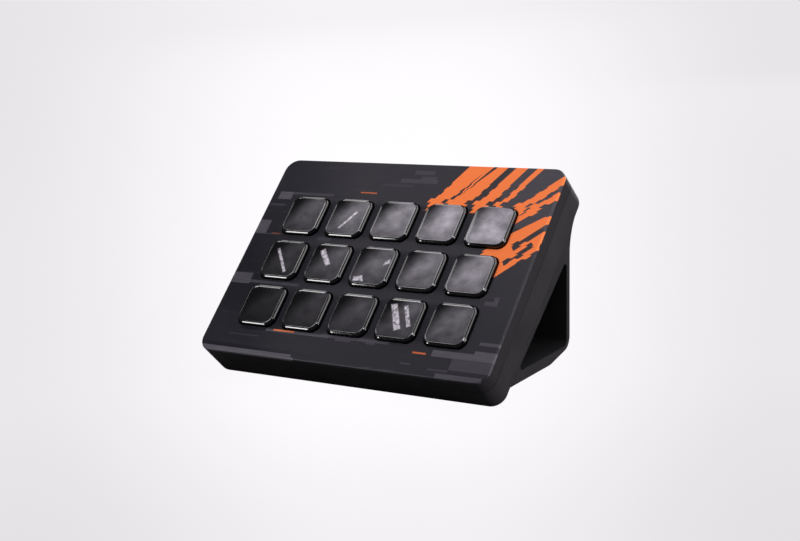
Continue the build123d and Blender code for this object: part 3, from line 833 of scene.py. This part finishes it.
@dataclass
class KeyCaps:
    """The keys: a black body with a facetted rim round a shallow dish that shows the picture."""

    size: float = 16.0
    radius: float = 3.3
    top: float = 1.52
    flange_top: float = -3.4
    flange_bottom: float = -4.0
    foot_bottom: float = -4.9
    flange_size: float = 17.8
    foot_size: float = 13.0
    side_top: float = 0.95
    facet_run: float = 0.5
    facet_deg: float = 26.0
    step_run: float = 0.2
    crest: float = 0.15
    slope_run: float = 0.28
    slope_deg: float = 17.0
    dish_sag: float = 0.2
    dish_rings: tuple[float, ...] = (0.88, 0.74, 0.58, 0.42, 0.26, 0.12)
    corner_steps: int = 12
    side_round: float = 0.14
    step_round: float = 0.07
    crest_round: float = 0.06
    dish_round: float = 0.18
    ring_reach: float = 0.06
    smooth_deg: float = 8.5

    def pattern(self, black: bpy.types.Material, picture: bpy.types.Material) -> bpy.types.Object:
        """Models one key at the origin: foot, flange, side, rim and dish.

        Args:
            black: Material of the body and the outer facet.
            picture: Material of the lit top.

        Returns:
            The key.
        """
        step_foot = self.side_top + self.facet_run * math.tan(math.radians(self.facet_deg))
        slope_drop = self.slope_run * math.tan(math.radians(self.slope_deg))
        piece = rounded_plate("key_cap", self.size, self.radius, self.flange_top, self.corner_steps)
        piece.data.materials.append(black)
        piece.data.materials.append(picture)
        extrude(self.side_top - self.flange_top)
        pick_face(piece, self.side_top, 1)
        inset(self.facet_run, step_foot - self.side_top)
        inset(self.step_run, self.top - step_foot)
        piece.active_material_index = 1
        bpy.ops.object.material_slot_assign()
        inset(self.crest)
        inset(self.slope_run, -slope_drop)
        half = self.size / 2
        rim = half - self.facet_run - self.step_run
        inner = rim - self.crest
        reached = 1.0
        for share in self.dish_rings:
            extrude(0.0, share / reached)
            self.hollow(piece, inner - self.slope_run, self.top - slope_drop)
            reached = share
        pick_face(piece, self.flange_top, -1)
        extrude(0.0, self.flange_size / self.size)
        extrude(self.flange_bottom - self.flange_top)
        extrude(0.0, self.foot_size / self.flange_size)
        extrude(self.foot_bottom - self.flange_bottom)
        face_outwards()
        self.round_ring(piece, self.side_top, half, self.side_round, steps=3)
        self.round_ring(piece, step_foot, half - self.facet_run, self.step_round)
        self.round_ring(piece, self.top, rim, self.crest_round)
        self.round_ring(piece, self.top, inner, self.crest_round)
        self.round_ring(piece, self.top - slope_drop, inner - self.slope_run, self.dish_round)
        bpy.ops.object.mode_set(mode="OBJECT")
        return piece

    def hollow(self, piece: bpy.types.Object, half: float, level: float) -> None:
        """Sinks the selected ring to the dish's depth at each of its points.

        Args:
            piece: The piece, in edit mode.
            half: Half of the dish's size in mm.
            level: Height of the dish's edge in mm.
        """
        shape = bmesh.from_edit_mesh(piece.data)
        for vertex in shape.verts:
            if vertex.select:
                across, along = vertex.co.x / (half * MM), vertex.co.y / (half * MM)
                vertex.co.z = (level - self.dish_sag * (1 - across ** 2) * (1 - along ** 2)) * MM
        bmesh.update_edit_mesh(piece.data)

    def round_ring(self, piece: bpy.types.Object, height: float, half: float, width: float,
                   steps: int = 2) -> None:
        """Rounds one ring of edges.

        Args:
            piece: The piece, in edit mode.
            height: The ring's height in mm.
            half: Half of the ring's size in mm.
            width: The rounding in mm.
            steps: Its segments.
        """
        radius = half + self.radius - self.size / 2
        straight = self.size / 2 - self.radius

        def on_ring(point: Vector) -> bool:
            """Whether a point lies at the height and on the rounded square."""
            beyond = Vector((max(abs(point.x) - straight, 0.0), max(abs(point.y) - straight, 0.0)))
            return abs(point.z - height) < SAME_PLACE and abs(beyond.length - radius) < self.ring_reach

        pick_edges(piece, on_ring)
        bpy.ops.mesh.bevel(offset=width * MM, segments=steps, affect="EDGES")

    def build(self, black: bpy.types.Material, picture: bpy.types.Material) -> int:
        """Models the key once and copies it to each of the keys' places.

        Args:
            black: The bodies' black plastic.
            picture: The lit picture.

        Returns:
            How many keys were made.
        """
        pattern = self.pattern(black, picture)
        only(pattern)
        bpy.ops.object.shade_smooth_by_angle(angle=math.radians(self.smooth_deg))
        for spot, (u, v) in KEYS.spots().items():
            only(pattern)
            bpy.ops.object.duplicate()
            piece = bpy.context.active_object
            piece.name = f"{pattern.name}_{spot}"
            settle(piece, FACE.place(u, v))
            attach(piece, f"button_{spot}")
            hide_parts(f"key_{spot}")
        bpy.data.objects.remove(pattern)
        return len(KEYS.spots())


@dataclass
class KeyMembrane:
    """The silicone sheet under the keys, with its rings parted from it."""

    cut: float = -4.98
    cut_reach: float = 0.005
    anchor: float = -5.05
    kept_share: float = 0.1
    weld: float = 0.001

    def half(self, name: str, rubber: bpy.types.Material, upper: bool) -> bpy.types.Object:
        """Copies the membrane into face coordinates and keeps one side of the cut, closed ring by ring.

        Args:
            name: The piece's name.
            rubber: Its material.
            upper: Whether the part above the cut is kept.

        Returns:
            The piece.
        """
        piece = bpy.data.objects.new(name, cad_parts["key_membrane"].data.copy())
        bpy.context.scene.collection.objects.link(piece)
        piece.data.materials.clear()
        piece.data.materials.append(rubber)
        edit(settle(piece, FACE.matrix().inverted()))
        bpy.ops.mesh.remove_doubles(threshold=self.weld * MM)
        bpy.ops.mesh.bisect(plane_co=(0.0, 0.0, self.cut * MM), plane_no=(0.0, 0.0, 1.0),
                            threshold=self.weld * MM, clear_inner=upper, clear_outer=not upper)
        for u, v in KEYS.spots().values():
            pick_edges(piece, lambda point: (abs(point.z - self.cut) < self.cut_reach
                                             and max(abs(point.x - u), abs(point.y - v)) < KEYS.pitch / 2))
            bpy.ops.mesh.bridge_edge_loops()
        face_outwards()
        bpy.ops.object.mode_set(mode="OBJECT")
        return piece

    def build(self, rubber: bpy.types.Material) -> int:
        """Parts the membrane into its sheet and its rings.

        Args:
            rubber: Material of the membrane.

        Returns:
            How many rings were made.
        """
        sheet = self.half("membrane_sheet", rubber, upper=False)
        edit(self.half("membrane_ring", rubber, upper=True))
        bpy.ops.mesh.separate(type="LOOSE")
        bpy.ops.object.mode_set(mode="OBJECT")
        rings = list(bpy.context.selected_objects)
        face = FACE.matrix()
        for ring in rings:
            points = [vertex.co for vertex in ring.data.vertices]
            middle = sum(points, Vector()) / len(points) / MM
            spot = min(KEYS.spots().items(), key=lambda item: (middle.xy - Vector(item[1])).length)[0]
            ring.name = f"membrane_ring_{spot}"
            settle(ring, face)
            tuple(FACE.place(0.0, 0.0, self.anchor).to_translation())
            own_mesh(ring)
        for piece in (settle(sheet, face), *rings):
            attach(piece, "deck")
            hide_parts("key_membrane")
        return len(rings)


@dataclass(frozen=True)
class Lamp:
    """A soft rectangular lamp: its place and size in metres, and how bright its face is, where 1 is white."""

    name: str
    place: tuple[float, float, float]
    size: Pair
    radiance: float


@dataclass(frozen=True)
class Fade:
    """A loss of the floor's light, which grows from the start to the end, in metres."""

    start: float
    end: float
    loss: float

    def lost(self, nodes: NodeTree, value: Socket) -> Socket:
        """The loss at a value, eased between the start and the end."""
        return nodes.spread(value, (self.start, self.end), (0.0, self.loss), smooth=True)


@dataclass
class Studio:
    """The pale floor, the pale surroundings and the soft lamps."""

    aim: tuple[float, float, float] = (0.0, -0.007, 0.04)
    floor_size: float = 16.0
    paper: Colour = linear(255, 252, 255)
    felt: Colour = (0.1, 0.1, 0.1)
    shade_share: float = 0.25
    glow: float = 1.34
    beam_deg: float = 34.58
    beam_start: float = 0.49
    beam_least: float = 0.1
    # The first runs across the beam, as a share of its width, and the others along it.
    side_fade: Fade = Fade(0.03, 0.28, 1.0)
    near_fade: Fade = Fade(0.0, 0.18, 0.14)
    front_fade: Fade = Fade(0.18, 0.45, 0.256)
    far_fade: Fade = Fade(0.9, 3.0, 0.09)
    side_loss: float = 0.2
    near_relief: float = 0.6
    wall: Colour = (0.87, 0.86, 0.875)
    room: Colour = (1.0, 0.98, 1.0)
    dark_above: float = 0.6
    horizon: float = 0.12
    zenith: float = 0.03
    lamps: tuple[Lamp, ...] = (
        Lamp("rim_front", (-0.407, -0.457, 0.255), (0.094, 0.18), 14.0),
        Lamp("rim_top", (-0.35, -0.37, 0.41), (0.19, 0.17), 8.0),
        Lamp("rim_left", (-0.46, 0.055, 0.31), (0.12, 0.2), 3.0),
        Lamp("rim_back", (-0.42, 0.385, 0.5), (0.22, 0.16), 2.5),
        Lamp("top", (0.1, -0.05, 0.6), (0.46, 0.6), 2.6),
        Lamp("right", (0.8, 0.05, 0.15), (0.4, 0.3), 14.0),
        Lamp("back", (0.1, 0.9, 0.3), (0.6, 0.4), 6.0),
    )

    def floor(self) -> None:
        """Lays a floor that shows its own pale colour in a painted pool of light and keeps a soft shadow."""
        bpy.ops.object.select_all(action="DESELECT")
        bpy.ops.mesh.primitive_plane_add(size=self.floor_size)
        floor = bpy.context.active_object
        floor.name = "floor"
        material = bpy.data.materials.new("pale_floor")
        material.use_nodes = True
        nodes = NodeTree(material.node_tree)
        diffuse = nodes.node("BsdfDiffuse", {"Color": self.felt})
        glow = nodes.node("Emission", {"Color": self.paper, "Strength": self.pool(nodes)})
        seen = nodes.math("MULTIPLY", nodes.node("LightPath").outputs["Is Camera Ray"], 1 - self.shade_share)
        mixer = nodes.node("MixShader", {0: seen, 1: diffuse.outputs[0], 2: glow.outputs[0]})
        nodes.node("OutputMaterial", {"Surface": mixer.outputs[0]})
        floor.data.materials.append(material)

    def pool(self, nodes: NodeTree) -> Socket:
        """The floor's pool of light: a beam that widens away from the viewer and fades at its sides and ends.

        Args:
            nodes: The floor material's nodes.

        Returns:
            How bright the floor looks.
        """
        place = nodes.position()
        turn = math.radians(self.beam_deg)
        across, forward = (nodes.vector_math("DOT_PRODUCT", place, (*way, 0.0)).outputs["Value"]
                           for way in ((math.cos(turn), math.sin(turn)), (-math.sin(turn), math.cos(turn))))
        width = nodes.math("MAXIMUM", nodes.math("ADD", forward, self.beam_start), self.beam_least)
        side = self.side_fade.lost(nodes, nodes.math("DIVIDE", nodes.math("ABSOLUTE", across), width))
        nearer = nodes.math("MULTIPLY", forward, -1.0)
        kept = nodes.math("SUBTRACT", 1.0, nodes.math("MULTIPLY", side, self.near_relief))
        near = nodes.math("MULTIPLY", self.near_fade.lost(nodes, nearer), kept)
        far = nodes.math("MULTIPLY", self.far_fade.lost(nodes, forward), nodes.math("SUBTRACT", 1.0, side))
        lost = nodes.math("ADD", nodes.math("MULTIPLY", side, self.side_loss), nodes.math("ADD", near, far))
        lost = nodes.math("MAXIMUM", lost, self.front_fade.lost(nodes, nearer))
        return nodes.math("MULTIPLY", nodes.math("SUBTRACT", 1.0, lost), self.glow)

    def surroundings(self) -> None:
        """Sets a world that looks pale, and lights from a pale horizon to a dark zenith."""
        world = bpy.data.worlds.new("pale_room")
        bpy.context.scene.world = world
        world.use_nodes = True
        nodes = NodeTree(world.node_tree)
        height = nodes.node("SeparateXYZ", {0: nodes.node("TexCoord").outputs["Generated"]}).outputs["Z"]
        strength = nodes.spread(height, (0.0, self.dark_above), (self.horizon, self.zenith))
        room = nodes.node("Background", {"Color": self.room, "Strength": strength})
        wall = nodes.node("Background", {"Color": self.wall})
        seen = nodes.node("LightPath").outputs["Is Camera Ray"]
        mixer = nodes.node("MixShader", {0: seen, 1: room.outputs[0], 2: wall.outputs[0]})
        nodes.node("OutputWorld", {"Surface": mixer.outputs[0]})

    def light(self, lamp: Lamp) -> None:
        """Hangs one lamp, facing the object.

        Args:
            lamp: The lamp.
        """
        data = bpy.data.lights.new(f"lamp_{lamp.name}", "AREA")
        data.shape = "RECTANGLE"
        data.size, data.size_y = lamp.size
        data.energy = lamp.radiance * math.pi * lamp.size[0] * lamp.size[1]
        hung = bpy.data.objects.new(data.name, data)
        bpy.context.scene.collection.objects.link(hung)
        hung.location = lamp.place
        hung.rotation_euler = (Vector(self.aim) - hung.location).to_track_quat("-Z", "Y").to_euler()
        hung.visible_camera = False

    def build(self) -> None:
        """Sets up floor, surroundings and lamps."""
        self.floor()
        self.surroundings()
        for lamp in self.lamps:
            self.light(lamp)


@dataclass(frozen=True)
class PhotoCamera:
    """The camera, placed from the face's middle in mm, with its focal length in pixels of the image."""

    from_face: tuple[float, float, float] = (281.4, -395.0, 103.9)
    turn_deg: float = 34.58
    dip_deg: float = 12.53
    roll_deg: float = -3.69
    focal_pixels: float = 1445.2
    image_width: float = 800.0
    sensor: float = 36.0
    clip: Pair = (0.01, 60.0)

    def build(self) -> None:
        """Makes the scene's camera."""
        data = bpy.data.cameras.new("camera")
        data.sensor_width = self.sensor
        data.lens = self.sensor * self.focal_pixels / self.image_width
        data.clip_start, data.clip_end = self.clip
        camera = bpy.data.objects.new("camera", data)
        bpy.context.scene.collection.objects.link(camera)
        turn = Matrix.Rotation(math.radians(self.turn_deg), 4, "Z")
        dip = Matrix.Rotation(math.radians(90.0 - self.dip_deg), 4, "X")
        roll = Matrix.Rotation(math.radians(self.roll_deg), 4, "Z")
        middle = FACE.matrix().to_translation()
        camera.matrix_world = Matrix.Translation(middle + Vector(self.from_face) * MM) @ turn @ dip @ roll
        bpy.context.scene.camera = camera


def dress(finishes: dict[str, tuple[str, ...]], materials: dict[str, bpy.types.Material]) -> None:
    """Gives CAD nodes their materials.

    Args:
        finishes: Node names for each finish.
        materials: The finishes' materials.
    """
    for finish, names in finishes.items():
        for name in names:
            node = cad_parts[name]
            node.data.materials.clear()
            node.data.materials.append(materials[finish])


def main() -> None:
    """Builds the looks in order and reports each piece."""
    logging.basicConfig(level=logging.INFO, format="%(name)s: %(message)s")
    bpy.context.scene.view_settings.view_transform = "Standard"
    PhotoCamera().build()
    Studio().build()
    materials = {
        "cover": CoverPrint().build(),
        "housing": MouldedPlastic("housing_plastic", linear(44, 41, 45), 0.42, 0.2, Grain.SATIN).build(),
        "stand": MouldedPlastic("stand_plastic", linear(38, 36, 39), 0.45, 0.2, Grain.SATIN).build(),
        "frame": MouldedPlastic("frame_plastic", linear(12, 12, 13), 0.6, 0.3, Grain.FINE).build(),
        "rubber": MouldedPlastic("black_rubber", linear(14, 14, 14), 0.75, 0.3, Grain.COARSE).build(),
        "key_side": PolishedPlastic("key_side", linear(7, 6, 9), 0.06, 0.75).build(),
        "display": DisplayPicture().build(),
        "light_frame": MouldedPlastic("light_frame", linear(200, 200, 200), 0.5, 0.5, Grain.FINE).build(),
        "board": PrintedBoard("board_mask", linear(10, 46, 32), linear(150, 120, 60)).build(),
        "ribbon": PrintedBoard("ribbon_film", linear(120, 70, 18), linear(190, 130, 50)).build(),
        "chip": MouldedPlastic("chip_body", linear(16, 16, 17), 0.5, 0.4, Grain.FINE).build(),
        "socket": MouldedPlastic("socket_body", linear(190, 186, 170), 0.5, 0.5, Grain.FINE).build(),
        "steel": Metal("zinc_steel", linear(150, 150, 152), 0.36).build(),
        "nickel": Metal("nickel_plate", linear(190, 188, 182), 0.2).build(),
    }
    dress({
        "cover": ("faceplate",),
        "housing": ("rear_housing",),
        "stand": ("stand",),
        "frame": ("front_frame", "display_tray"),
        "rubber": ("stand_pad",),
        "display": ("lcd_panel",),
        "light_frame": ("backlight_unit",),
        "board": ("contact_board", "main_board"),
        "ribbon": ("display_flex", "contact_flex"),
        "chip": ("controller_chip", "memory_chip", "board_components"),
        "socket": ("ribbon_sockets",),
        "steel": ("housing_screws", "board_screws", "usb_receptacle"),
        "nickel": ("housing_magnets", "stand_magnets"),
    }, materials)
    LOG.info("materials: %d", len(materials))
    LOG.info("keys: %d", KeyCaps().build(materials["key_side"], materials["display"]))
    LOG.info("membrane rings: %d", KeyMembrane().build(materials["rubber"]))


if __name__ == "__main__":
    main()
